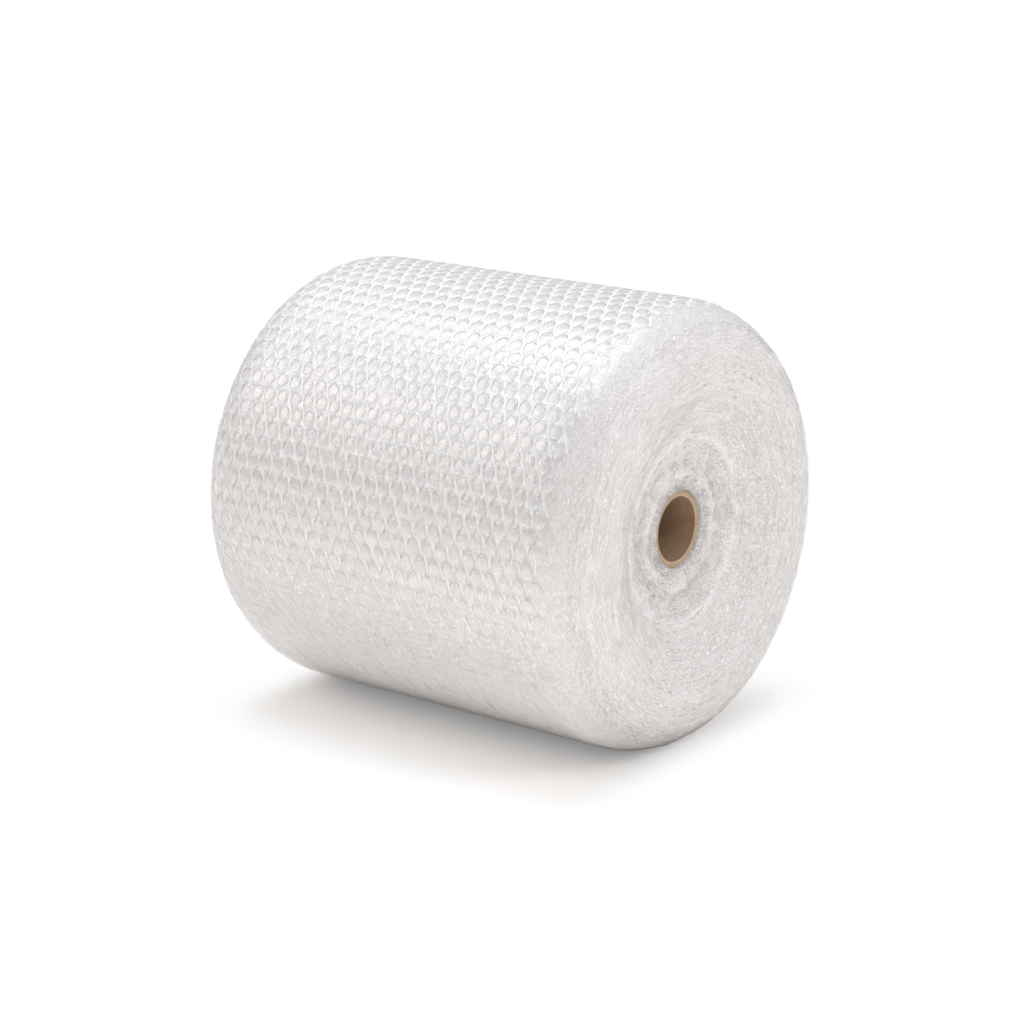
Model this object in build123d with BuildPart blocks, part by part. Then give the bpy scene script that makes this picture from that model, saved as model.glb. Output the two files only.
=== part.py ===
from build123d import *
from math import acos, ceil, cos, pi, sin, sqrt
import os

os.makedirs("parts", exist_ok=True)

# Roll of bubble film lying on its side along X, over its bubbles and between its two crests
roll_length = 300.0
roll_diameter = 285.0

# The flat spot at Z = 0 is pressed this far past the film between the bubbles
flat_spot_margin = 1.3

# Bubbles of the outer turn: rows along the roll, every other row shifted by half a bubble
bubble_pitch = 10.5
row_pitch = 10.6
bubble_height = 3.0

# Edges of the wound turns, seen on both ends inside a plain band of the outer turns
turn_pitch = 4.8
turn_groove = 1.8
plain_band = 8.0
tail_angle = 40.0

# Each turn has flat sides, in groups, that leave the true round by no more than the sag
turn_sag = 1.45
side_group = 7

# Rounded shoulders: length along the roll and fall of the radius
right_shoulder_length = 40.6
right_shoulder_fall = 35.6
left_shoulder_length = 34.6
left_shoulder_fall = 28.5

# The ends sink towards the core
end_recess = 23.0
recess_floor_diameter = 86.0

# Cardboard core
core_bore = 41.0
core_wall = 4.0
core_setback = 1.5

roll_radius = roll_diameter / 2
film_radius = roll_radius - bubble_height
axis_height = film_radius - flat_spot_margin
half_length = roll_length / 2
core_radius = core_bore / 2 + core_wall
core_length = roll_length - 2 * (end_recess + core_setback)
recess_floor_radius = recess_floor_diameter / 2
inner_radius = core_radius - turn_groove
outer_turn_radius = film_radius - plain_band

row_count = 2 * round(pi * roll_radius / row_pitch)
half_pitch = bubble_pitch / 2
straight_half = half_length - (right_shoulder_length + left_shoulder_length) / 2
column_count = round(straight_half / half_pitch)
tail_row = round(row_count * tail_angle / 360)


def at(x, radius, angle):
    return Vector(x, radius * cos(angle), axis_height + radius * sin(angle))


# The lowest two rows lie evenly either side of the line the roll rests along
def row_angle(row):
    return 2 * pi * (row + 0.5) / row_count - pi / 2


# A share of one turn, counted from the loose tail of the film
def turn_angle(turn):
    return row_angle(tail_row + turn * row_count)


def shoulder(side):
    if side > 0:
        return right_shoulder_length, right_shoulder_fall
    return left_shoulder_length, left_shoulder_fall


# Distance of the roll's end surface from the middle of the roll, at a radius
def end_reach(side, radius):
    length, fall = shoulder(side)
    crest_radius = roll_radius - fall
    if radius >= crest_radius:
        rise = min(1.0, (radius - crest_radius) / fall)
        return half_length - length * (1 - sqrt(1 - rise * rise))
    inward = min(1.0, (crest_radius - radius) / (crest_radius - recess_floor_radius))
    return half_length - end_recess * (1 - cos(pi * inward)) / 2


# Radius of the roll's outside at a distance along X
def outside_radius(x):
    length, fall = shoulder(1 if x > 0 else -1)
    run = max(0.0, abs(x) - (half_length - length)) / length
    return roll_radius - fall * (1 - sqrt(1 - run * run))


# One line round the end: even lines are turn edges, odd lines the grooves between them
def end_line(side, index):
    middle = inner_radius + turn_pitch * (index + 1) / 2
    middle = min(max(middle, inner_radius + turn_pitch), outer_turn_radius - turn_pitch)
    steps = round(side_group * ceil(pi / acos(1 - turn_sag / middle) / side_group))
    points = []
    for step in range(steps + 1):
        turn = step / steps
        radius = inner_radius + turn_pitch * (index / 2 + turn)
        depth = turn_groove if index % 2 else 0.0
        if radius <= inner_radius or radius >= outer_turn_radius:
            radius = min(max(radius, inner_radius), outer_turn_radius)
            depth = 0.0
        reach = end_reach(side, radius) - depth
        points.append((turn, at(side * reach, radius, turn_angle(turn))))
    return points


# Triangles between two lines that run once round the roll
def strip(first, second):
    corners = []
    i = 0
    j = 0
    while i < len(first) - 1 or j < len(second) - 1:
        if j == len(second) - 1 or (i < len(first) - 1 and first[i + 1][0] <= second[j + 1][0]):
            corners.append((first[i][1], first[i + 1][1], second[j][1]))
            i += 1
        else:
            corners.append((first[i][1], second[j + 1][1], second[j][1]))
            j += 1
    return corners


# Bubble field of the outer turn: a peak at each bubble, the film between them lower
def bubble_point(column, row):
    x = column * half_pitch
    raised = (column + row) % 2 == 0 and abs(column) < column_count
    radius = outside_radius(x) - (0.0 if raised else bubble_height)
    return at(x, radius, row_angle(row))


triangles = []
for column in range(-column_count, column_count):
    for row in range(row_count):
        near = bubble_point(column, row)
        along = bubble_point(column + 1, row)
        beyond = bubble_point(column + 1, row + 1)
        across = bubble_point(column, row + 1)
        if (column + row) % 2 == 0:
            triangles.append((near, along, across))
            triangles.append((along, beyond, across))
        else:
            triangles.append((near, along, beyond))
            triangles.append((near, beyond, across))

# Both ends: turn edges and grooves from the core out, then the shoulder up to the bubble field
line_count = ceil(2 * (outer_turn_radius - inner_radius) / turn_pitch)
end_caps = []
for side in (1, -1):
    lines = [end_line(side, index) for index in range(-2, line_count + 1)]
    band_x = side * (column_count * half_pitch + end_reach(side, outer_turn_radius)) / 2
    band = [
        (turn, at(band_x, outside_radius(band_x), turn_angle(turn))) for turn, point in lines[-1]
    ]
    field_edge = [
        (row / row_count, bubble_point(side * column_count, tail_row + row))
        for row in range(row_count + 1)
    ]
    lines.append(band)
    lines.append(field_edge)
    for first, second in zip(lines, lines[1:]):
        triangles.extend(strip(first, second))
    end_caps.append(Face(Wire.make_polygon([point for turn, point in lines[0][:-1]])))

facets = [
    Face(Wire.make_polygon(corners))
    for corners in triangles
    if min((corners[k] - corners[k - 1]).length for k in range(3)) > 1e-6
]
winding_shell = Shell(facets + end_caps)

# Wound film: one sheet, so one solid, with the core's hole through it and a flat spot below
with BuildPart() as bubble_winding:
    add(Solid(winding_shell))
    with BuildSketch(Plane.YZ.offset(-half_length)):
        with Locations((0, axis_height)):
            Circle(core_radius)
    extrude(amount=roll_length, mode=Mode.SUBTRACT)
    split(bisect_by=Plane.XY, keep=Keep.TOP)

# Spiral-wound cardboard tube
with BuildPart() as cardboard_core:
    with BuildSketch(Plane.YZ.offset(-core_length / 2)):
        with Locations((0, axis_height)):
            Circle(core_radius)
            Circle(core_bore / 2, mode=Mode.SUBTRACT)
    extrude(amount=core_length)

bubble_winding.part.label = "bubble_winding"
cardboard_core.part.label = "cardboard_core"
export_step(bubble_winding.part, "parts/bubble_winding.step")
export_step(cardboard_core.part, "parts/cardboard_core.step")
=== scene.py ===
import math

import bpy
import numpy as np
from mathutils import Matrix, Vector


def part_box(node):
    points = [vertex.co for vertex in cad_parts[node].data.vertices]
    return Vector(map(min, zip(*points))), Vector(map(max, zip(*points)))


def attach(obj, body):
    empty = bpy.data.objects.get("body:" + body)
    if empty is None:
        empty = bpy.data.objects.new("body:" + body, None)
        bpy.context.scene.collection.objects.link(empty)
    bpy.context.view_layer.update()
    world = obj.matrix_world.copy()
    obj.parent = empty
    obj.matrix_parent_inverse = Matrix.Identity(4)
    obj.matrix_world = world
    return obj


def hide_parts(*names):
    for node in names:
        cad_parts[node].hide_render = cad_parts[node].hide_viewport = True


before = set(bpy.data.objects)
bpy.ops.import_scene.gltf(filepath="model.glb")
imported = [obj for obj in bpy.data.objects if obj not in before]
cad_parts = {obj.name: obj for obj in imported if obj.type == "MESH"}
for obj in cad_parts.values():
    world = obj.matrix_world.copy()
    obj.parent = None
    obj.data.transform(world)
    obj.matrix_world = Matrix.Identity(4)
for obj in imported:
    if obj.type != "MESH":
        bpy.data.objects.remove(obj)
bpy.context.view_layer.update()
bpy.ops.object.select_all(action="DESELECT")


# Cardboard core
# A tube of kraft paper plies, wound in a spiral, glued and sawn square at both ends. The film is
# wound straight on to it, and its ends lie a little deeper than the film around them.
core_low, core_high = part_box("cardboard_core")
axis_height = (core_low.z + core_high.z) / 2
core_half_length = core_high.x
core_radius = (core_high.y - core_low.y) / 2
core_bore_radius = 0.0205
core_edge_round = 0.0006
core_edge_steps = 3
core_steps = 120
core_smooth_angle = math.radians(40)
seam_gap = 1e-6
fibre_size = 0.001111
fibre_depth = 0.0004
board_cloud_size = 0.008333


def linear(code):
    """A colour written as sRGB hex, as the linear RGBA that the shaders use."""
    values = [int(code[i:i + 2], 16) / 255 for i in (0, 2, 4)]
    return [v / 12.92 if v <= 0.04045 else ((v + 0.055) / 1.055) ** 2.4 for v in values] + [1.0]


def add_node(tree, kind, sockets=None, **settings):
    """A node of that kind; a socket is given a value, or another node's output to be linked to."""
    node = tree.nodes.new(kind)
    for name, value in settings.items():
        setattr(node, name, value)
    for name, value in (sockets or {}).items():
        if isinstance(value, bpy.types.NodeSocket):
            tree.links.new(value, node.inputs[name])
        else:
            node.inputs[name].default_value = value
    return node


def new_material(name):
    """A material with an empty tree and its output node."""
    material = bpy.data.materials.new(name)
    material.use_nodes = True
    material.node_tree.nodes.clear()
    output = add_node(material.node_tree, "ShaderNodeOutputMaterial")
    return material, material.node_tree, output


def place_on_roll(tree):
    """Nodes for a place on the roll: whole, in parts, as a line from the axis, and how far off."""
    place = add_node(tree, "ShaderNodeTexCoord")
    parts = add_node(tree, "ShaderNodeSeparateXYZ", {"Vector": place.outputs["Object"]})
    across = add_node(tree, "ShaderNodeCombineXYZ", {
        "Y": parts.outputs["Y"], "Z": parts.outputs["Z"]})
    from_axis = add_node(tree, "ShaderNodeVectorMath", {
        0: across.outputs["Vector"], 1: (0, 0, axis_height)}, operation="SUBTRACT")
    radius = add_node(tree, "ShaderNodeVectorMath", {
        0: from_axis.outputs["Vector"]}, operation="LENGTH")
    return place, parts, from_axis, radius


def close_seams(gap):
    """In edit mode: merges points that meet, turns the faces outwards and leaves the mode."""
    bpy.ops.mesh.select_all(action="SELECT")
    bpy.ops.mesh.remove_doubles(threshold=gap)
    bpy.ops.mesh.normals_make_consistent(inside=False)
    bpy.ops.object.mode_set(mode="OBJECT")


def spin_round(steps):
    """In edit mode: spins the whole outline once about the roll's axis and closes its seam."""
    bpy.ops.mesh.select_all(action="SELECT")
    bpy.ops.mesh.spin(
        steps=steps, angle=2 * math.pi, center=(0, 0, axis_height), axis=(1, 0, 0))
    close_seams(seam_gap)


# The tube's wall as a flat section, its four edges rounded, spun about the roll's axis
bpy.ops.mesh.primitive_plane_add(
    size=1, location=(0, 0, axis_height + (core_bore_radius + core_radius) / 2),
    rotation=(math.pi / 2, 0, 0))
core = bpy.context.object
core.name = "kraft_core"
core.scale = (2 * core_half_length, core_radius - core_bore_radius, 1)
bpy.ops.object.transform_apply(location=True, rotation=True, scale=True)
bpy.ops.object.mode_set(mode="EDIT")
bpy.ops.mesh.select_all(action="SELECT")
bpy.ops.mesh.bevel(offset=core_edge_round, segments=core_edge_steps, affect="VERTICES")
bpy.ops.mesh.delete(type="ONLY_FACE")
spin_round(core_steps)
bpy.ops.object.shade_smooth_by_angle(angle=core_smooth_angle)

# Sawn and wound kraft board: matt brown, paler where the saw cut the plies, with short fibres that
# are drawn coarser than real ones so that they show
kraft, tree, output = new_material("kraft_board_wound")
place, parts, from_axis, radius = place_on_roll(tree)
fibres = add_node(tree, "ShaderNodeTexNoise", {
    "Vector": place.outputs["Object"], "Scale": 1 / fibre_size, "Detail": 4, "Roughness": 0.6})
clouds = add_node(tree, "ShaderNodeTexNoise", {
    "Vector": place.outputs["Object"], "Scale": 1 / board_cloud_size, "Detail": 3})
depth = add_node(tree, "ShaderNodeMapRange", {
    "Value": radius.outputs["Value"], "From Min": core_bore_radius, "From Max": core_radius})
plies = add_node(tree, "ShaderNodeValToRGB", {"Fac": depth.outputs["Result"]})
plies.color_ramp.elements[0].color = linear("8F6E53")
plies.color_ramp.elements[1].color = linear("E5D5BF")
for position, code in ((0.10, "E0CDB4"), (0.24, "C6AA8F"), (0.45, "AD9176"), (0.62, "BBA086"),
                       (0.82, "CDB49A")):
    plies.color_ramp.elements.new(position).color = linear(code)
shade = add_node(tree, "ShaderNodeMix", {
    "Factor": clouds.outputs["Fac"], "A": plies.outputs["Color"], "B": linear("9E846A")},
    data_type="RGBA")
speckle = add_node(tree, "ShaderNodeMapRange", {
    "Value": fibres.outputs["Fac"], "From Min": 0.35, "From Max": 0.75, "To Min": 0.0,
    "To Max": 0.35})
fibre_shade = add_node(tree, "ShaderNodeMix", {
    "Factor": speckle.outputs["Result"], "A": shade.outputs["Result"], "B": linear("D6BFA2")},
    data_type="RGBA")
relief = add_node(tree, "ShaderNodeBump", {
    "Height": fibres.outputs["Fac"], "Strength": 0.4, "Distance": fibre_depth})
board = add_node(tree, "ShaderNodeBsdfPrincipled", {
    "Base Color": fibre_shade.outputs["Result"], "Roughness": 0.85, "IOR": 1.45,
    "Normal": relief.outputs["Normal"]})
tree.links.new(board.outputs["BSDF"], output.inputs["Surface"])
core.data.materials.append(kraft)
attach(core, "root")
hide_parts("cardboard_core")


# Wound film
# Some two dozen turns of clear polyethylene film lie so close that together they look milky white.
# The turns creep inwards towards the core at both ends and roll over a rounded shoulder outside.
roll_radius = 0.1425
half_length = 0.150
bubble_height = 0.0013
film_gap = 0.0003
hole_clearance = 0.0001
film_hole_radius = core_radius + hole_clearance
floor_gap = 0.0004
end_recess = 0.023
recess_floor_radius = 0.043
body_steps = 300

# The two ends differ: 1 is the end towards +X, -1 the other
shoulder_length = {1: 0.0406, -1: 0.0346}
shoulder_fall = {1: 0.0356, -1: 0.0285}

# The bubbles of the outer turn also show in the stack's colours
bubble_pitch = 0.0105
row_count = 84
bubble_row = 2 * math.pi * (roll_radius - bubble_height) / row_count
bubble_row_share = 0.48
bubble_half_width = 0.0044
bubble_half_span = bubble_row_share * bubble_row


def shoulder_point(side, turn):
    """(x, radius) on the shoulder; turn runs from 0 outside to a quarter turn on the crest."""
    length, fall = shoulder_length[side], shoulder_fall[side]
    x = half_length - length + length * np.sin(turn)
    radius = roll_radius - fall + fall * np.cos(turn)
    sink = (bubble_height + film_gap) * np.cos(turn)
    return side * (x - sink * np.sin(turn)), radius - sink * np.cos(turn)


def end_reach(side, radius):
    """Distance of the end's surface from the middle of the roll, for radii inside the crest."""
    crest = roll_radius - shoulder_fall[side]
    inward = np.clip((crest - radius) / (crest - recess_floor_radius), 0, 1)
    return half_length - end_recess * (1 - np.cos(np.pi * inward)) / 2


def lumps(u, v, around, seed):
    """Smooth random heights from -1 to 1, on a grid that closes after so many cells of u."""
    along = 997
    table = np.random.default_rng(seed).uniform(-1, 1, (around, along))
    i, j = np.floor(u).astype(int), np.floor(v).astype(int)
    s, t = u - i, v - j
    s, t = s * s * (3 - 2 * s), t * t * (3 - 2 * t)
    next_i, next_j = (i + 1) % around, (j + 1) % along
    i, j = i % around, j % along
    low = table[i, j] * (1 - s) + table[next_i, j] * s
    high = table[i, next_j] * (1 - s) + table[next_i, next_j] * s
    return low * (1 - t) + high * t


def uneven(share, across, cells, width, seed, first=0):
    """Lumps at a share of the whole turn: so many cells round the roll, each so wide across it."""
    return lumps(share * cells, across / width + first, cells, seed)


def new_piece(name, points, lines, faces):
    """A piece made of those points, alone selected."""
    mesh = bpy.data.meshes.new(name)
    mesh.from_pydata(points, lines, faces)
    piece = bpy.data.objects.new(name, mesh)
    bpy.context.collection.objects.link(piece)
    bpy.ops.object.select_all(action="DESELECT")
    bpy.context.view_layer.objects.active = piece
    piece.select_set(True)
    return piece


# The profile of one half, from the middle of the outside to the core, then the other half back
straight_points, shoulder_points, end_points, hole_points = 13, 30, 52, 3
hole_from, hole_to = 0.11, 0.03
profile = []
for side in (1, -1):
    straight = half_length - shoulder_length[side]
    crest = roll_radius - shoulder_fall[side]
    half = [(side * x, roll_radius - bubble_height - film_gap)
            for x in np.linspace(0, straight, straight_points)[:-1]]
    half += [shoulder_point(side, turn) for turn in np.linspace(0, math.pi / 2, shoulder_points)]
    half += [(side * end_reach(side, r), r)
             for r in np.linspace(crest, film_hole_radius, end_points)[1:]]
    half += [(side * x, film_hole_radius) for x in np.linspace(hole_from, hole_to, hole_points)]
    profile.append(half)
loop = profile[0] + profile[1][1:][::-1]
body = new_piece(
    "wound_film", [(x, 0, axis_height + r) for x, r in loop],
    [(i, (i + 1) % len(loop)) for i in range(len(loop))], [])
bpy.ops.object.mode_set(mode="EDIT")
spin_round(body_steps)
bpy.ops.object.shade_smooth()

# Uneven turns: rings round the core that stand proud or sink, as (radius, height) from the core
# outwards, and lumps all over the ends that are rougher near the core
ring_steps = [
    (0.0246, -0.0018), (0.026, -0.0028), (0.030, -0.0022), (0.0325, 0.0004), (0.036, 0.0016),
    (0.0395, 0.0008), (0.043, -0.0014), (0.047, -0.0006), (0.055, -0.0002), (0.058, 0.0022),
    (0.061, 0.0008), (0.065, 0.0)]
ring_radius, ring_height = np.array(ring_steps).T
ring_wander = 0.002
lump_height, small_lump_height, ripple_height, swell_height = 0.0015, 0.0007, 0.0006, 0.0003
rough_radius, rough_share = [0.03, 0.036, 0.06, 0.08], [0.8, 1.3, 0.9, 0.35]
inside_crest = 0.1
crest_from, crest_blend = 0.134, 0.012
hole_wall = 0.0005


def ring_rise(radius, share):
    """Height of the uneven rings round the core, at a radius and a share of the whole turn."""
    astray = radius + ring_wander * uneven(share, radius, cells=9, width=0.02, seed=6)
    patchy = 0.65 + 0.5 * uneven(share, radius, cells=13, width=0.012, seed=7)
    return patchy * np.interp(astray, ring_radius, ring_height)


points = np.empty(3 * len(body.data.vertices))
body.data.vertices.foreach_get("co", points)
points = points.reshape(-1, 3)
x, y, z = points.T
r = np.hypot(y, z - axis_height)
angle = np.arctan2(z - axis_height, y)
share = (angle / (2 * math.pi) + 0.25) % 1.0
on_end = np.where(r < inside_crest, 1, np.clip((np.abs(x) - crest_from) / crest_blend, 0, 1))
rough = ((lump_height * uneven(share, r, cells=40, width=0.006, seed=1)
          + small_lump_height * uneven(share, r, cells=84, width=0.0032, seed=4))
         * np.interp(r, rough_radius, rough_share)
         + ripple_height * uneven(share, r, cells=110, width=0.0035, seed=2))
outward = np.where(x > 0, 1, -1) * (ring_rise(r, share) + rough) * on_end
points[:, 0] += np.where(r > film_hole_radius + hole_wall, outward, 0)
swell = swell_height * (uneven(share, x, cells=60, width=0.02, seed=3, first=40) - 1)
swell = np.where(r > inside_crest, swell, 0)
points[:, 1] += swell * np.cos(angle)
points[:, 2] += swell * np.sin(angle)
points[:, 2] = np.maximum(points[:, 2], floor_gap)
body.data.vertices.foreach_set("co", points.ravel())
body.data.update()

# Milky stack of clear film: soft white with a waxy gloss. The streaks of its turns run round it,
# drawn coarser than the film is thick so that they show.
mottle_size = 0.007692
grain_size = 0.001613
dash_width, sparkle_width, band_width = 0.0012, 0.0011, 0.006
wrinkle_length = 0.010
stack_relief = 0.0006
stack, tree, output = new_material("polyethylene_film_wound")
place, parts, from_axis, radius = place_on_roll(tree)
spoke = add_node(tree, "ShaderNodeVectorMath", {
    0: from_axis.outputs["Vector"]}, operation="NORMALIZE")
sideways = add_node(tree, "ShaderNodeMath", {0: parts.outputs["X"]}, operation="ABSOLUTE")
down_profile = add_node(tree, "ShaderNodeMath", {
    0: radius.outputs["Value"], 1: sideways.outputs["Value"]}, operation="SUBTRACT")


def drawn_out(cells_round, way, cell_length, detail):
    """Noise with so many cells to a radian round the roll, each so long on the other way given."""
    round_part = add_node(tree, "ShaderNodeVectorMath", {
        0: spoke.outputs["Vector"], "Scale": cells_round}, operation="SCALE")
    way_part = add_node(tree, "ShaderNodeMath", {0: way, 1: cell_length}, operation="DIVIDE")
    way_axis = add_node(tree, "ShaderNodeCombineXYZ", {"X": way_part.outputs["Value"]})
    place_in = add_node(tree, "ShaderNodeVectorMath", {
        0: round_part.outputs["Vector"], 1: way_axis.outputs["Vector"]}, operation="ADD")
    return add_node(tree, "ShaderNodeTexNoise", {
        "Vector": place_in.outputs["Vector"], "Scale": 1.0, "Detail": detail, "Roughness": 0.6})


# Streaks step on down the end, where the radius counts for more than the way along the roll
steeper = add_node(tree, "ShaderNodeMath", {
    0: radius.outputs["Value"], 1: 1.5}, operation="MULTIPLY")
down_end = add_node(tree, "ShaderNodeMath", {
    0: steeper.outputs["Value"], 1: sideways.outputs["Value"]}, operation="SUBTRACT")
dashes = drawn_out(
    cells_round=22, way=down_end.outputs["Value"], cell_length=dash_width, detail=2)
sparkle = drawn_out(
    cells_round=55, way=down_end.outputs["Value"], cell_length=sparkle_width, detail=1)
bands = drawn_out(
    cells_round=5, way=down_end.outputs["Value"], cell_length=band_width, detail=3)
mottle = add_node(tree, "ShaderNodeTexNoise", {
    "Vector": place.outputs["Object"], "Scale": 1 / mottle_size, "Detail": 4, "Roughness": 0.6})
grain = add_node(tree, "ShaderNodeTexNoise", {
    "Vector": place.outputs["Object"], "Scale": 1 / grain_size, "Detail": 2, "Roughness": 0.6})

# Fine wrinkles along the roll, where its weight presses the outer turn flat
wrinkles = drawn_out(
    cells_round=80, way=parts.outputs["X"], cell_length=wrinkle_length, detail=3)

# Painted light and shade under each clear bubble: a pale crescent at its lower left stands for
# light that the dome gathers, a grey one opposite for its shade. They follow the bubbles' own
# rows, two rows to one step of the lattice. White lines, painted highlights, run down one slant
# of it, grey strokes down the other.
spoke_parts = add_node(tree, "ShaderNodeSeparateXYZ", {"Vector": spoke.outputs["Vector"]})
backwards = add_node(tree, "ShaderNodeMath", {
    0: spoke_parts.outputs["Y"], 1: -1.0}, operation="MULTIPLY")
turn_round = add_node(tree, "ShaderNodeMath", {
    0: backwards.outputs["Value"], 1: spoke_parts.outputs["Z"]}, operation="ARCTAN2")
rows = add_node(tree, "ShaderNodeMath", {
    0: turn_round.outputs["Value"], 1: row_count / (4 * math.pi)}, operation="MULTIPLY")
columns = add_node(tree, "ShaderNodeMath", {
    0: parts.outputs["X"], 1: bubble_pitch}, operation="DIVIDE")
straight = add_node(tree, "ShaderNodeCombineXYZ", {
    "X": columns.outputs["Value"], "Y": rows.outputs["Value"]})
unruly = add_node(tree, "ShaderNodeVectorMath", {
    0: mottle.outputs["Color"], 1: (0.5, 0.5, 0.5)}, operation="SUBTRACT")
astray = add_node(tree, "ShaderNodeVectorMath", {
    0: unruly.outputs["Vector"], 1: (0.16, 0.08, 0)}, operation="MULTIPLY")
lattice = add_node(tree, "ShaderNodeVectorMath", {
    0: straight.outputs["Vector"], 1: astray.outputs["Vector"]}, operation="ADD")
to_rim = (bubble_pitch / bubble_half_width, 2 * bubble_row / bubble_half_span, 0)
centres, spans = [], []
for shift in ((0.5, 0.25, 0), (0.0, 0.75, 0)):
    moved = add_node(tree, "ShaderNodeVectorMath", {
        0: lattice.outputs["Vector"], 1: shift}, operation="ADD")
    cell = add_node(tree, "ShaderNodeVectorMath", {
        0: moved.outputs["Vector"]}, operation="FRACTION")
    centred = add_node(tree, "ShaderNodeVectorMath", {
        0: cell.outputs["Vector"], 1: (0.5, 0.5, 0)}, operation="SUBTRACT")
    centres.append(add_node(tree, "ShaderNodeVectorMath", {
        0: centred.outputs["Vector"], 1: to_rim}, operation="MULTIPLY"))
    spans.append(add_node(tree, "ShaderNodeVectorMath", {
        0: centres[-1].outputs["Vector"]}, operation="LENGTH"))
second = add_node(tree, "ShaderNodeMath", {
    0: spans[1].outputs["Value"], 1: spans[0].outputs["Value"]}, operation="LESS_THAN")
own = add_node(tree, "ShaderNodeMix", {
    "Factor": second.outputs["Value"], "A": centres[0].outputs["Vector"],
    "B": centres[1].outputs["Vector"]}, data_type="VECTOR")
own_span = add_node(tree, "ShaderNodeMath", {
    0: spans[1].outputs["Value"], 1: spans[0].outputs["Value"]}, operation="MINIMUM")


def oval(span, width):
    """1 on an oval line round each bubble, at that share of the bubble's size, fading to 0."""
    off_line = add_node(tree, "ShaderNodeMath", {
        0: own_span.outputs["Value"], 1: span}, operation="SUBTRACT")
    distance_off = add_node(tree, "ShaderNodeMath", {
        0: off_line.outputs["Value"]}, operation="ABSOLUTE")
    return add_node(tree, "ShaderNodeMapRange", {
        "Value": distance_off.outputs["Value"], "From Min": width, "From Max": 0.02},
        interpolation_type="SMOOTHSTEP")


inner_oval = oval(span=0.56, width=0.13)
outer_oval = oval(span=0.90, width=0.14)
ovals = add_node(tree, "ShaderNodeMath", {
    0: inner_oval.outputs["Result"], 1: 0.8, 2: outer_oval.outputs["Result"]},
    operation="MULTIPLY_ADD")
lower_left = add_node(tree, "ShaderNodeVectorMath", {
    0: own.outputs["Result"], 1: (-0.75, 0.66, 0)}, operation="DOT_PRODUCT")
crescent = add_node(tree, "ShaderNodeMath", {
    0: ovals.outputs["Value"], 1: lower_left.outputs["Value"]}, operation="MULTIPLY")
crescent_tone = add_node(tree, "ShaderNodeMapRange", {
    "Value": crescent.outputs["Value"], "From Min": -0.9, "From Max": 0.9})
painted_light_crescents = add_node(tree, "ShaderNodeValToRGB", {"Fac": crescent_tone.outputs["Result"]})
# The grey and white ends of this ramp are each bubble's painted shade and painted light
painted_light_crescents.color_ramp.elements[0].color = linear("949190")
painted_light_crescents.color_ramp.elements[1].color = linear("FEFEFE")
painted_light_crescents.color_ramp.elements.new(0.5).color = linear("DBD9D8")
lattice_parts = add_node(tree, "ShaderNodeSeparateXYZ", {"Vector": lattice.outputs["Vector"]})


def slant_lines(operation, offset, width, strength):
    """A factor for the lines between the slanting files of bubbles, down one slant or the other."""
    across_files = add_node(tree, "ShaderNodeMath", {
        0: lattice_parts.outputs["X"], 1: lattice_parts.outputs["Y"]}, operation=operation)
    phase = add_node(tree, "ShaderNodeMath", {
        0: across_files.outputs["Value"], 1: offset}, operation="ADD")
    gap = add_node(tree, "ShaderNodeMath", {
        0: phase.outputs["Value"], 1: 0.5}, operation="PINGPONG")
    return add_node(tree, "ShaderNodeMapRange", {
        "Value": gap.outputs["Value"], "From Min": 0.5 - width, "From Max": 0.48, "To Min": 0.0,
        "To Max": strength}, interpolation_type="SMOOTHSTEP")


grey_strokes = slant_lines("ADD", offset=-0.25, width=0.08, strength=0.5)
# The white lines down this slant are painted highlights
painted_white_lines = slant_lines("SUBTRACT", offset=0.25, width=0.09, strength=0.8)
stroked = add_node(tree, "ShaderNodeMix", {
    "Factor": grey_strokes.outputs["Result"], "A": painted_light_crescents.outputs["Color"],
    "B": linear("B4B1B0")}, data_type="RGBA")
up_shoulder = add_node(tree, "ShaderNodeMapRange", {
    "Value": sideways.outputs["Value"], "From Min": 0.09, "From Max": 0.12, "To Min": 1.0,
    "To Max": 0.2})
line_share = add_node(tree, "ShaderNodeMath", {
    0: painted_white_lines.outputs["Result"], 1: up_shoulder.outputs["Result"]}, operation="MULTIPLY")
# Near white mixed in along those lines: painted highlights
lined = add_node(tree, "ShaderNodeMix", {
    "Factor": line_share.outputs["Value"], "A": stroked.outputs["Result"], "B": linear("FEFEFE")},
    data_type="RGBA")

# Low on the roll the bubbles are pressed flat, and wrinkles take their place, paler underneath:
# that paleness is painted light, standing for the light the floor throws back up
pressed_flat = add_node(tree, "ShaderNodeMapRange", {
    "Value": spoke_parts.outputs["Z"], "From Min": -0.5, "From Max": 0.0, "To Min": 0.9,
    "To Max": 0.0})
wrinkled = add_node(tree, "ShaderNodeValToRGB", {"Fac": wrinkles.outputs["Fac"]})
wrinkled.color_ramp.elements[0].color = linear("BFBCBB")
wrinkled.color_ramp.elements[0].position = 0.3
wrinkled.color_ramp.elements[1].color = linear("DEDDDC")
wrinkled.color_ramp.elements[1].position = 0.7
painted_bounce_share = add_node(tree, "ShaderNodeMapRange", {
    "Value": spoke_parts.outputs["Z"], "From Min": -0.80, "From Max": -0.45, "To Min": 0.9,
    "To Max": 0.0})
# Painted light: paler towards the underside, for the floor's bounce
painted_bounce_light = add_node(tree, "ShaderNodeMix", {
    "Factor": painted_bounce_share.outputs["Result"], "A": wrinkled.outputs["Color"],
    "B": linear("FBFAFA")}, data_type="RGBA")
side_tone = add_node(tree, "ShaderNodeMix", {
    "Factor": pressed_flat.outputs["Result"], "A": lined.outputs["Result"],
    "B": painted_bounce_light.outputs["Result"]}, data_type="RGBA")
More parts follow.
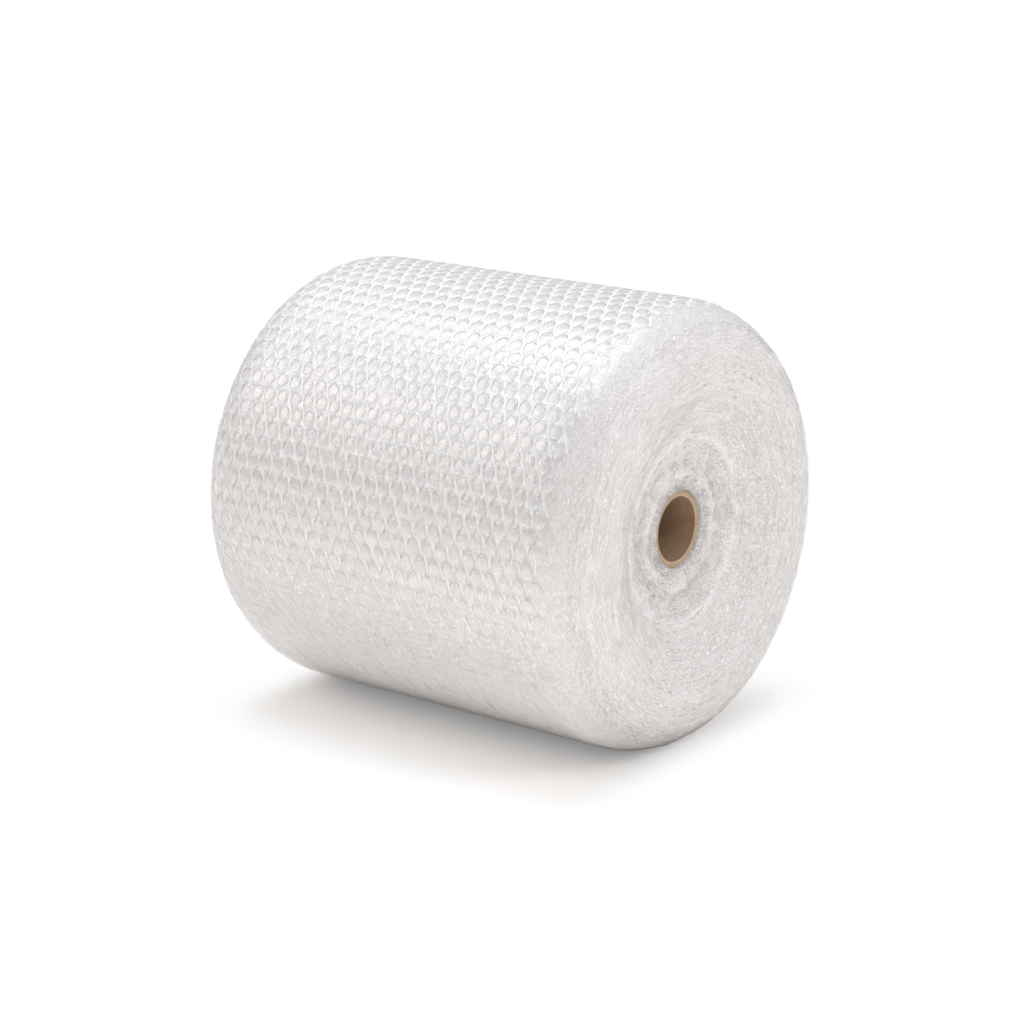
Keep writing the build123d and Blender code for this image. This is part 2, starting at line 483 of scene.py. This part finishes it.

# Tone of the turns near the core: sunken ones greyer and proud ones paler, painted shade and light
ragged_radius = add_node(tree, "ShaderNodeMath", {
    0: mottle.outputs["Fac"], 1: 0.012, 2: radius.outputs["Value"]}, operation="MULTIPLY_ADD")
from_core = add_node(tree, "ShaderNodeMapRange", {
    "Value": ragged_radius.outputs["Value"], "From Min": 0.030, "From Max": 0.080})
core_painted_shading = add_node(tree, "ShaderNodeValToRGB", {"Fac": from_core.outputs["Result"]})
core_painted_shading.color_ramp.elements[0].color = linear("B2ADAA")
core_painted_shading.color_ramp.elements[1].color = linear("DEDBDA")
for position, code in ((0.10, "B7B2AF"), (0.16, "CDC9C7"), (0.25, "E3E1E0"), (0.31, "D4D1D0"),
                       (0.37, "C3BFBD"), (0.45, "D3D0CE"), (0.62, "D8D5D4"), (0.68, "F0EEED"),
                       (0.76, "DCD9D8")):
    core_painted_shading.color_ramp.elements.new(position).color = linear(code)

# The bubbles' tones on the outside give way to the turns' on the ends, sooner on the right shoulder
on_side = add_node(tree, "ShaderNodeMapRange", {
    "Value": down_profile.outputs["Value"], "From Min": -0.010, "From Max": 0.002})
up_to_last = add_node(tree, "ShaderNodeMapRange", {
    "Value": parts.outputs["X"], "From Min": 0.116, "From Max": 0.130, "To Min": 1.0,
    "To Max": 0.0})
bubbled = add_node(tree, "ShaderNodeMath", {
    0: on_side.outputs["Result"], 1: up_to_last.outputs["Result"]}, operation="MULTIPLY")
milky = add_node(tree, "ShaderNodeMix", {
    "Factor": bubbled.outputs["Value"], "A": core_painted_shading.outputs["Color"],
    "B": side_tone.outputs["Result"]}, data_type="RGBA")

# Over both lie grey clouds, then white dashes, bright sparks that are painted glints, and dull
# grey flecks of the turns
cloudy = add_node(tree, "ShaderNodeMapRange", {
    "Value": mottle.outputs["Fac"], "From Min": 0.35, "From Max": 0.7, "To Min": 0.0,
    "To Max": 0.30})
clouded = add_node(tree, "ShaderNodeMix", {
    "Factor": cloudy.outputs["Result"], "A": milky.outputs["Result"], "B": linear("C9C6C5")},
    data_type="RGBA")
by_core = add_node(tree, "ShaderNodeMapRange", {
    "Value": radius.outputs["Value"], "From Min": 0.03, "From Max": 0.08, "To Min": 0.95,
    "To Max": 0.5})
streak_share = add_node(tree, "ShaderNodeMapRange", {
    "Value": bubbled.outputs["Value"], "To Min": by_core.outputs["Result"], "To Max": 0.15})
dash_share = add_node(tree, "ShaderNodeMapRange", {
    "Value": dashes.outputs["Fac"], "From Min": 0.48, "From Max": 0.70, "To Min": 0.0,
    "To Max": streak_share.outputs["Result"]})
dashed = add_node(tree, "ShaderNodeMix", {
    "Factor": dash_share.outputs["Result"], "A": clouded.outputs["Result"],
    "B": linear("F7F6F6")}, data_type="RGBA")
painted_glint_share = add_node(tree, "ShaderNodeMapRange", {
    "Value": sparkle.outputs["Fac"], "From Min": 0.56, "From Max": 0.70, "To Min": 0.0,
    "To Max": 0.85})
# Painted glints: small near-white sparks in the colour
painted_glints = add_node(tree, "ShaderNodeMix", {
    "Factor": painted_glint_share.outputs["Result"], "A": dashed.outputs["Result"],
    "B": linear("FDFCFC")}, data_type="RGBA")
grey_share = add_node(tree, "ShaderNodeMapRange", {
    "Value": sparkle.outputs["Fac"], "From Min": 0.44, "From Max": 0.30, "To Min": 0.0,
    "To Max": streak_share.outputs["Result"]})
dulled = add_node(tree, "ShaderNodeMix", {
    "Factor": grey_share.outputs["Result"], "A": painted_glints.outputs["Result"],
    "B": linear("BDB9B8")}, data_type="RGBA")
waxy = add_node(tree, "ShaderNodeMapRange", {
    "Value": bands.outputs["Fac"], "From Min": 0.3, "From Max": 0.7, "To Min": 0.22,
    "To Max": 0.40})
lie = add_node(tree, "ShaderNodeMix", {
    "Factor": bubbled.outputs["Value"], "A": dashes.outputs["Fac"], "B": wrinkles.outputs["Fac"]})
fine = add_node(tree, "ShaderNodeMath", {
    0: grain.outputs["Fac"], 1: lie.outputs["Result"]}, operation="ADD")
relief = add_node(tree, "ShaderNodeBump", {
    "Height": fine.outputs["Value"], "Strength": 0.6, "Distance": stack_relief})
film = add_node(tree, "ShaderNodeBsdfPrincipled", {
    "Base Color": dulled.outputs["Result"], "Roughness": waxy.outputs["Result"], "IOR": 1.51,
    "Normal": relief.outputs["Normal"]})
tree.links.new(film.outputs["BSDF"], output.inputs["Surface"])
body.data.materials.append(stack)
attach(body, "root")
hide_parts("bubble_winding")


# Film edges on the ends
# Each turn shows its cut edge on the end: a plain film and the bubble film bonded to it, which is
# cut through its bubbles and so waves in and out. The edges stand a little proud of the stack.
turn_pitch = 0.0048
edge_inner_radius = 0.026
edge_outer_radius = 0.131
edge_depth = 0.0012
edge_proud = 0.0008
edge_wander = 0.0006
edge_lean = 0.0005
proud_length, lean_length = 0.004, 0.005
plain_step, bubble_step = 0.0030, 0.0015
shoulder_samples = 200
cut_least, cut_depth = 0.0006, 0.0026
edge_crease_size, edge_crease_depth = 0.002857, 0.0005

edge_turns = (edge_outer_radius - edge_inner_radius) / turn_pitch
edge_length = math.pi * (edge_outer_radius + edge_inner_radius) * edge_turns
edge_points, edge_faces = [], []
for side in (1, -1):
    crest = roll_radius - shoulder_fall[side]
    shoulder_x, shoulder_r = shoulder_point(side, np.linspace(0, math.pi / 2, shoulder_samples))
    order = np.argsort(shoulder_r)
    for layer, step in enumerate((plain_step, bubble_step)):
        count = int(edge_length / step)
        path = np.linspace(0, 1, count)
        radius = np.sqrt(edge_inner_radius ** 2
                         + path * (edge_outer_radius ** 2 - edge_inner_radius ** 2))
        share = (radius - edge_inner_radius) / turn_pitch
        turn = 2 * math.pi * share
        run = path * edge_length
        if layer:
            wave = np.abs(np.sin(math.pi * run / bubble_pitch)) ** 0.7
            fullness = 0.75 + 0.25 * lumps(run / bubble_pitch, radius, around=499, seed=23)
            offset = cut_least + cut_depth * wave * fullness
        else:
            offset = np.zeros(count)
        wander = edge_wander * uneven(share, radius, cells=37, width=0.01, seed=21 + layer)
        ring = radius + offset + wander
        reach = np.where(ring < crest, end_reach(side, ring),
                         np.interp(ring, shoulder_r[order], np.abs(shoulder_x)[order]))
        reach = reach + ring_rise(ring, share + 0.25)
        proud = edge_proud * (
            1 + 0.8 * lumps(run / proud_length, radius, around=997, seed=25 + layer))
        lean = edge_lean * lumps(run / lean_length, radius, around=997, seed=27 + layer)
        base = len(edge_points)
        for k in range(count):
            c, s = math.cos(turn[k]), math.sin(turn[k])
            tip = ring[k] + lean[k]
            edge_points.append((
                side * (reach[k] - edge_depth), ring[k] * c, axis_height + ring[k] * s))
            edge_points.append((
                side * (reach[k] + proud[k]), tip * c, max(floor_gap, axis_height + tip * s)))
            if k:
                a = base + 2 * k - 2
                edge_faces.append((a, a + 1, a + 3, a + 2))
edges = new_piece("film_edges", edge_points, [], edge_faces)
bpy.ops.object.shade_smooth()


def clear_film(tree, crease_size, crease_depth, crease_strength, roughness, wall_tones):
    """Nodes of a thin clear film: how far it is seen on edge, what passes, its shine, its share."""
    place = add_node(tree, "ShaderNodeTexCoord")
    creases = add_node(tree, "ShaderNodeTexNoise", {
        "Vector": place.outputs["Object"], "Scale": 1 / crease_size, "Detail": 2})
    relief = add_node(tree, "ShaderNodeBump", {
        "Height": creases.outputs["Fac"], "Strength": crease_strength, "Distance": crease_depth})
    facing = add_node(tree, "ShaderNodeLayerWeight", {"Blend": 0.5})
    flat_tone, bend, bend_tone, edge_tone = wall_tones
    wall = add_node(tree, "ShaderNodeValToRGB", {"Fac": facing.outputs["Facing"]})
    wall.color_ramp.elements[0].color = linear(flat_tone)
    wall.color_ramp.elements[1].color = linear(edge_tone)
    wall.color_ramp.elements.new(bend).color = linear(bend_tone)
    through = add_node(tree, "ShaderNodeBsdfTransparent", {"Color": wall.outputs["Color"]})
    shine = add_node(tree, "ShaderNodeBsdfAnisotropic", {
        "Color": linear("FFFFFF"), "Roughness": roughness, "Normal": relief.outputs["Normal"]})
    # Both faces of a film of refractive index 1.51 together: 0.08 of the light straight on, all of
    # it at a grazing angle, and the same from either side
    straight_on = 0.08
    steep = add_node(tree, "ShaderNodeMath", {
        0: facing.outputs["Facing"], 1: 5.0}, operation="POWER")
    grazing = add_node(tree, "ShaderNodeMath", {
        0: steep.outputs["Value"], 1: 1 - straight_on, 2: straight_on}, operation="MULTIPLY_ADD")
    return facing, through, shine, grazing


# Clear film seen on edge: thin and see-through, hazier and greyer the more it is seen on edge
clear, tree, output = new_material("polyethylene_film_clear")
facing, through, shine, grazing = clear_film(
    tree, edge_crease_size, edge_crease_depth, crease_strength=0.3, roughness=0.15,
    wall_tones=("FCFCFC", 0.55, "F8F7F7", "D8D5D4"))
thin = add_node(tree, "ShaderNodeMixShader", {
    "Fac": grazing.outputs["Value"], 1: through.outputs["BSDF"], 2: shine.outputs["BSDF"]})
milk_and_highlight = add_node(tree, "ShaderNodeBsdfDiffuse", {"Color": linear("EDEBE9")})
haze = add_node(tree, "ShaderNodeMapRange", {
    "Value": facing.outputs["Facing"], "To Min": 0.03, "To Max": 0.22})
hazy = add_node(tree, "ShaderNodeMixShader", {
    "Fac": haze.outputs["Result"], 1: thin.outputs["Shader"], 2: milk_and_highlight.outputs["BSDF"]})
tree.links.new(hazy.outputs["Shader"], output.inputs["Surface"])
edges.data.materials.append(clear)
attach(edges, "root")
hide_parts("bubble_winding")


# Outer bubbles
# The outermost turn is wound with its bubbles outwards: rows of low air-filled domes of clear film,
# every other row shifted by half a bubble, some of them pressed flatter than others.
last_column = {1: 23, -1: 25}
half_pitch = bubble_pitch / 2
half_row = math.pi / row_count
bubble_half_row = bubble_half_span / (roll_radius - bubble_height)
bubble_stray = 0.015
bubble_lean = 0.12
bubble_size_range = (0.95, 1.0)
crown_range = (0.6, 1.06)
height_range = (0.6, 1.0)
sheet_seam_gap = 1e-5
sheet_floor_gap = 0.0002
crease_size, crease_depth = 0.002381, 0.0006

# What is left of a bubble's height, by its height on the roll from -1, lowest, to 1, topmost: the
# roll's weight presses the lowest flat, and the film is drawn tight over the top
up_the_roll = [-0.5, 0.0, 0.4, 0.85]
height_left = [0.12, 1.0, 0.85, 0.35]

# One bubble and the film round it: a disc inset and raised in steps to a low dome, its edge then
# drawn out to a diamond, so that the cells of neighbouring rows meet along their sides. In the cell
# the bubble's rim has a radius of 1 and its dome a height of 1.
cell_sides = 12
cell_disc = 1.2
dome_steps = ((0.20, 0.0), (0.08, 0.72), (0.22, 0.28))
bpy.ops.mesh.primitive_circle_add(vertices=cell_sides, radius=cell_disc, fill_type="NGON")
cell = bpy.context.object
bpy.ops.object.mode_set(mode="EDIT")
bpy.ops.mesh.select_all(action="SELECT")
for narrower, higher in dome_steps:
    bpy.ops.mesh.inset(thickness=narrower)
    bpy.ops.transform.translate(value=(0, 0, higher))
bpy.ops.mesh.poke(offset=0)
bpy.ops.object.mode_set(mode="OBJECT")
cell_points = np.array([v.co[:] for v in cell.data.vertices])
cell_faces = np.array([
    list(p.vertices) + [-1] * (4 - len(p.vertices)) for p in cell.data.polygons])
bpy.data.objects.remove(cell)
cell_radius = np.hypot(cell_points[:, 0], cell_points[:, 1])
cell_edge = cell_radius > 1.1
cell_rim = (cell_radius > 0.95) & ~cell_edge
cell_middle = cell_radius < 0.01
corners = np.array([(1, 0), (0, 2), (-1, 0), (0, -2)])
diamond = np.array([
    corners[k - 1] + (corners[k] - corners[k - 1]) * part
    for k in (1, 2, 3, 0) for part in (0, 1 / 3, 2 / 3)])
side_number = np.round(
    np.arctan2(cell_points[:, 1], cell_points[:, 0]) * cell_sides / (2 * math.pi))
side_number = side_number.astype(int) % cell_sides
cell_points[cell_edge, :2] = diamond[side_number[cell_edge]]

# Painted highlight lines down one slant of the cells: their lower left and upper right sides
rim_painted_line = 0.45
on_slant = np.isin(side_number, [3, 4, 5, 6, 9, 10, 11, 0])
cell_painted_lines = on_slant * (1.0 * cell_edge + rim_painted_line * cell_rim)


def row_angle(row):
    """Angle of a row of bubbles; the lowest two rows lie evenly either side of the flat spot."""
    return 2 * math.pi * (row + 0.5) / row_count - math.pi / 2


def outside(x):
    """(radius, slope along the roll) of the outer film between its bubbles."""
    side = np.where(x > 0, 1, -1)
    length = np.where(x > 0, shoulder_length[1], shoulder_length[-1])
    fall = np.where(x > 0, shoulder_fall[1], shoulder_fall[-1])
    run = np.maximum(0.0, np.abs(x) - (half_length - length)) / length
    root = np.sqrt(1 - run * run)
    return roll_radius - bubble_height - fall * (1 - root), -side * fall * run / (length * root)


# The sheet is laid out as (place along the roll, rise above the film, angle round the roll)
sheet_points, sheet_faces, painted_line_share = [], [], []
random_bubble = np.random.default_rng(5)
for row in range(row_count):
    angle = row_angle(row)
    pressed = np.interp(math.sin(angle), up_the_roll, height_left)
    low_line_fade = np.interp(math.sin(angle), up_the_roll[:2], height_left[:2])
    for column in range(-last_column[-1], last_column[1] + 1):
        if (column + row) % 2:
            continue
        shift_x, shift_t = random_bubble.normal(0, bubble_stray, 2)
        size = random_bubble.uniform(*bubble_size_range)
        shape = cell_points.copy()
        shape[cell_middle, 2] = random_bubble.uniform(*crown_range)
        tall = pressed * bubble_height * random_bubble.uniform(*height_range)
        lean_x, lean_t = random_bubble.normal(0, bubble_lean, 2)
        rise = tall * shape[:, 2] * (1 + lean_x * shape[:, 0] + lean_t * shape[:, 1])
        dome_x = bubble_half_width * (size * shape[:, 0] + shift_x)
        dome_t = bubble_half_row * (size * shape[:, 1] + shift_t / 2)
        local_x = np.where(cell_edge, half_pitch * shape[:, 0], dome_x)
        theta = angle + np.where(cell_edge, half_row * shape[:, 1], dome_t)
        first_point = len(sheet_points) * len(shape)
        sheet_faces.append(np.where(cell_faces < 0, -1, cell_faces + first_point))
        # Share of the milky painted highlight lines at each point, fading out low on the roll
        painted_line_share.append(low_line_fade * cell_painted_lines)
        sheet_points.append(np.stack([
            column * half_pitch + local_x, np.minimum(rise, bubble_height), theta], axis=1))
sheet_points = np.concatenate(sheet_points)
sheet_faces = [
    tuple(k for k in face if k >= 0) for face in np.concatenate(sheet_faces).tolist()]

# The film's plain margin beyond the last bubbles, puckered where the shoulder draws it in. It
# starts along the sides of the last diamonds, which have two points between their corners.
margin_end = 0.1445
margin_wave = 0.003
margin_steps = 8
margin_row_points = margin_steps + 2
margin_tuck = 0.0008
pucker_height, pucker_size = 0.0035, 0.004
margin_points, margin_faces = [], []
for side in (1, -1):
    base = len(sheet_points) + len(margin_points)
    starts = [(last_column[side] + 1 - (row + last_column[side]) % 2) * half_pitch
              for row in range(row_count + 1)]
    for row in range(row_count):
        margin_reach = margin_end + margin_wave * math.sin(row * 2.4) * math.sin(row * 0.9)
        for step in range(margin_steps):
            share_along = step / (margin_steps - 1)
            margin_points.append((
                side * (starts[row] + (margin_reach - starts[row]) * share_along),
                row_angle(row), share_along))
        for part in (1 / 3, 2 / 3):
            margin_points.append((
                side * (starts[row] + (starts[row + 1] - starts[row]) * part),
                row_angle(row + part), 0.0))
        here = base + row * margin_row_points
        there = base + (row + 1) % row_count * margin_row_points
        lower, upper = here + margin_steps, here + margin_steps + 1
        margin_faces += [(here, here + 1, lower), (lower, here + 1, there + 1, upper),
                         (upper, there + 1, there)]
        for step in range(2, margin_steps):
            margin_faces.append((here + step - 1, here + step, there + step, there + step - 1))
margin_x, margin_t, share_along = np.array(margin_points).T
pucker = uneven(margin_t / (2 * math.pi) + 0.25, np.abs(margin_x), cells=row_count,
                width=pucker_size, seed=31)
pucker = (pucker_height * np.abs(pucker) * share_along * (1 - share_along)
          - margin_tuck * (share_along == 1))
sheet_points = np.concatenate([sheet_points, np.stack([margin_x, pucker, margin_t], axis=1)])
sheet_x, rise, sheet_t = sheet_points.T
share = sheet_t / (2 * math.pi) + 0.25


def askew(broad, close, seed):
    """How far the sheet's points are drawn aside, in broad waves and from bubble to bubble."""
    return (broad * uneven(share, sheet_x, cells=44, width=0.02, seed=seed, first=40)
            + close * uneven(share, sheet_x, cells=168, width=half_pitch, seed=seed + 1, first=60))


# The whole sheet drawn a little askew, so that no row runs quite straight, and then wound round
askew_x = askew(broad=0.0005, close=0.0003, seed=41)
askew_t = askew(broad=0.0006, close=0.0004, seed=43)
sheet_x = sheet_x + askew_x
sheet_t = sheet_t + askew_t / roll_radius
film_radius, slope = outside(sheet_x)
tilt = np.arctan(slope)
sheet_r = film_radius + rise * np.cos(tilt)
sheet_points = np.stack([
    sheet_x - rise * np.sin(tilt), sheet_r * np.cos(sheet_t),
    np.maximum(sheet_floor_gap, axis_height + sheet_r * np.sin(sheet_t))], axis=1)
bubbles = new_piece("bubble_film", sheet_points.tolist(), [], sheet_faces + margin_faces)
painted_line_share = np.concatenate(painted_line_share + [np.zeros(len(margin_points))])
bubbles.data.attributes.new("painted_line_highlights", "FLOAT", "POINT").data.foreach_set("value", painted_line_share)
bpy.ops.object.mode_set(mode="EDIT")
close_seams(sheet_seam_gap)
bpy.ops.object.shade_smooth()

# Clear blown film: see-through and glossy, greyer where the wall of a bubble is seen on edge, and
# milky white along lines between the bubbles, which are painted highlights. On the shoulders it
# clings to the turn below and loses its shine.
outer, tree, output = new_material("polyethylene_bubble_film")
facing, through, shine, grazing = clear_film(
    tree, crease_size, crease_depth, crease_strength=0.4, roughness=0.22,
    wall_tones=("FDFDFD", 0.6, "FBFBFB", "E9E7E7"))
place = add_node(tree, "ShaderNodeTexCoord")
parts = add_node(tree, "ShaderNodeSeparateXYZ", {"Vector": place.outputs["Object"]})
sideways = add_node(tree, "ShaderNodeMath", {0: parts.outputs["X"]}, operation="ABSOLUTE")
clinging = add_node(tree, "ShaderNodeMapRange", {
    "Value": sideways.outputs["Value"], "From Min": 0.118, "From Max": 0.138, "To Min": 1.0,
    "To Max": 0.0})
glint = add_node(tree, "ShaderNodeMath", {
    0: grazing.outputs["Value"], 1: clinging.outputs["Result"]}, operation="MULTIPLY")
thin = add_node(tree, "ShaderNodeMixShader", {
    "Fac": glint.outputs["Value"], 1: through.outputs["BSDF"], 2: shine.outputs["BSDF"]})
painted_line_highlights = add_node(tree, "ShaderNodeAttribute", attribute_name="painted_line_highlights")
highlight_line_share = add_node(tree, "ShaderNodeMath", {
    0: painted_line_highlights.outputs["Fac"], 1: 0.6}, operation="MULTIPLY")
# White diffuse film along those lines: painted highlights
milk_and_highlight = add_node(tree, "ShaderNodeBsdfDiffuse", {"Color": linear("FAFAFA")})
painted_highlight_film = add_node(tree, "ShaderNodeMixShader", {
    "Fac": highlight_line_share.outputs["Value"], 1: thin.outputs["Shader"], 2: milk_and_highlight.outputs["BSDF"]})
tree.links.new(painted_highlight_film.outputs["Shader"], output.inputs["Surface"])
bubbles.data.materials.append(outer)
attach(bubbles, "root")
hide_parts("bubble_winding")


# Floor
# A wide sheet of white studio paper under the roll. To the camera it is pure white, except close to
# the roll, where the paper's own tone shows with the soft shadow on it.
floor_size = 40
shadow_share = 0.80
shadow_end_from, shadow_end_to = 0.12, 0.165
shadow_middle = -0.02
shadow_front_from, shadow_front_to = 0.08, 0.19
bpy.ops.mesh.primitive_plane_add(size=floor_size, location=(0, 0, 0))
floor = bpy.context.object
floor.name = "studio_floor"
paper, tree, output = new_material("white_paper_floor")
matt = add_node(tree, "ShaderNodeBsdfDiffuse", {"Color": linear("F8F6F4")})
glow = add_node(tree, "ShaderNodeEmission", {"Color": linear("FFFFFF"), "Strength": 1.0})
path = add_node(tree, "ShaderNodeLightPath")
place = add_node(tree, "ShaderNodeTexCoord")
parts = add_node(tree, "ShaderNodeSeparateXYZ", {"Vector": place.outputs["Object"]})
off_end = add_node(tree, "ShaderNodeMath", {0: parts.outputs["X"]}, operation="ABSOLUTE")
from_middle = add_node(tree, "ShaderNodeMath", {
    0: parts.outputs["Y"], 1: shadow_middle}, operation="SUBTRACT")
off_front = add_node(tree, "ShaderNodeMath", {
    0: from_middle.outputs["Value"]}, operation="ABSOLUTE")
by_end = add_node(tree, "ShaderNodeMapRange", {
    "Value": off_end.outputs["Value"], "From Min": shadow_end_from, "From Max": shadow_end_to,
    "To Min": shadow_share, "To Max": 0.0}, interpolation_type="SMOOTHSTEP")
by_front = add_node(tree, "ShaderNodeMapRange", {
    "Value": off_front.outputs["Value"], "From Min": shadow_front_from,
    "From Max": shadow_front_to, "To Min": 1.0, "To Max": 0.0}, interpolation_type="SMOOTHSTEP")
shaded = add_node(tree, "ShaderNodeMath", {
    0: by_end.outputs["Result"], 1: by_front.outputs["Result"]}, operation="MULTIPLY")
white = add_node(tree, "ShaderNodeMath", {
    0: 1.0, 1: shaded.outputs["Value"]}, operation="SUBTRACT")
seen = add_node(tree, "ShaderNodeMath", {
    0: path.outputs["Is Camera Ray"], 1: white.outputs["Value"]}, operation="MULTIPLY")
sheet = add_node(tree, "ShaderNodeMixShader", {
    "Fac": seen.outputs["Value"], 1: matt.outputs["BSDF"], 2: glow.outputs["Emission"]})
tree.links.new(sheet.outputs["Shader"], output.inputs["Surface"])
floor.data.materials.append(paper)


# Studio light
# Broad softboxes at the front left, high at the left and at the right of a pale room, a long narrow
# one straight above the roll, and a low lamp that washes the paper in front of it.
dim_side = (-0.64, -0.77, 0.0)
room_bright, room_dim = 0.71, 0.15
world = bpy.data.worlds.new("pale_room")
bpy.context.scene.world = world
world.use_nodes = True
tree = world.node_tree
tree.nodes.clear()
sky = add_node(tree, "ShaderNodeTexCoord")
sky_low = add_node(tree, "ShaderNodeVectorMath", {
    0: sky.outputs["Generated"], 1: dim_side}, operation="DOT_PRODUCT")
sky_tone = add_node(tree, "ShaderNodeMapRange", {
    "Value": sky_low.outputs["Value"], "From Min": 0.30, "From Max": 0.90,
    "To Min": room_bright, "To Max": room_dim}, interpolation_type="SMOOTHSTEP")
sky_path = add_node(tree, "ShaderNodeLightPath")
sky_seen = add_node(tree, "ShaderNodeMath", {
    0: sky_tone.outputs["Result"], 1: sky_path.outputs["Is Camera Ray"]}, operation="MAXIMUM")
room = add_node(tree, "ShaderNodeBackground", {
    "Color": linear("FFFFFF"), "Strength": sky_seen.outputs["Value"]})
add_node(tree, "ShaderNodeOutputWorld", {"Surface": room.outputs["Background"]})


def softbox(name, place, target, width, height, power):
    """A rectangular lamp that faces a point; the lamp's own data."""
    lamp = bpy.data.lights.new(name, "AREA")
    lamp.shape = "RECTANGLE"
    lamp.size, lamp.size_y, lamp.energy = width, height, power
    holder = bpy.data.objects.new(name, lamp)
    bpy.context.collection.objects.link(holder)
    holder.location = place
    holder.rotation_euler = (Vector(target) - Vector(place)).to_track_quat("-Z", "Y").to_euler()
    return lamp


front_left = softbox(
    "softbox_front_left", place=(-1.4, -1.25, 1.55), target=(0, 0, 0.15),
    width=1.5, height=1.25, power=15.5)
high_left = softbox(
    "softbox_high_left", place=(-0.85, 0.05, 2.0), target=(0, 0, 0.2),
    width=0.8, height=0.8, power=9.5)
overhead = softbox(
    "softbox_overhead", place=(0.05, 0.1, 1.9), target=(0.05, 0.1, 0.0),
    width=0.4, height=1.4, power=7.5)
softbox(
    "softbox_right", place=(2.0, 0.45, 1.7), target=(0, 0, 0.15),
    width=0.9, height=0.9, power=14.5)
floor_wash = softbox(
    "floor_wash", place=(0.2, -0.45, 0.5), target=(0.2, -0.45, 0.0),
    width=0.7, height=0.3, power=0.85)
high_left.color = overhead.color = linear("F7F9FF")[:3]
front_left.color = linear("FFFBF7")[:3]
floor_wash.spread = math.radians(64)


# Camera
# The photo's place and lens, found from the roll's outline and its two ends.
azimuth, elevation = math.radians(37.14), math.radians(15.92)
look_at = Vector((-0.00171, 0, 0.1272))
distance = 1.6768
back = Vector((
    math.sin(azimuth) * math.cos(elevation), -math.cos(azimuth) * math.cos(elevation),
    math.sin(elevation)))
lens = bpy.data.cameras.new("photo_camera")
lens.lens = 91.54
lens.sensor_width = 36
camera = bpy.data.objects.new("photo_camera", lens)
bpy.context.collection.objects.link(camera)
camera.location = look_at + distance * back
camera.rotation_euler = (-back).to_track_quat("-Z", "Y").to_euler()
bpy.context.scene.camera = camera
bpy.context.scene.view_settings.view_transform = "Standard"
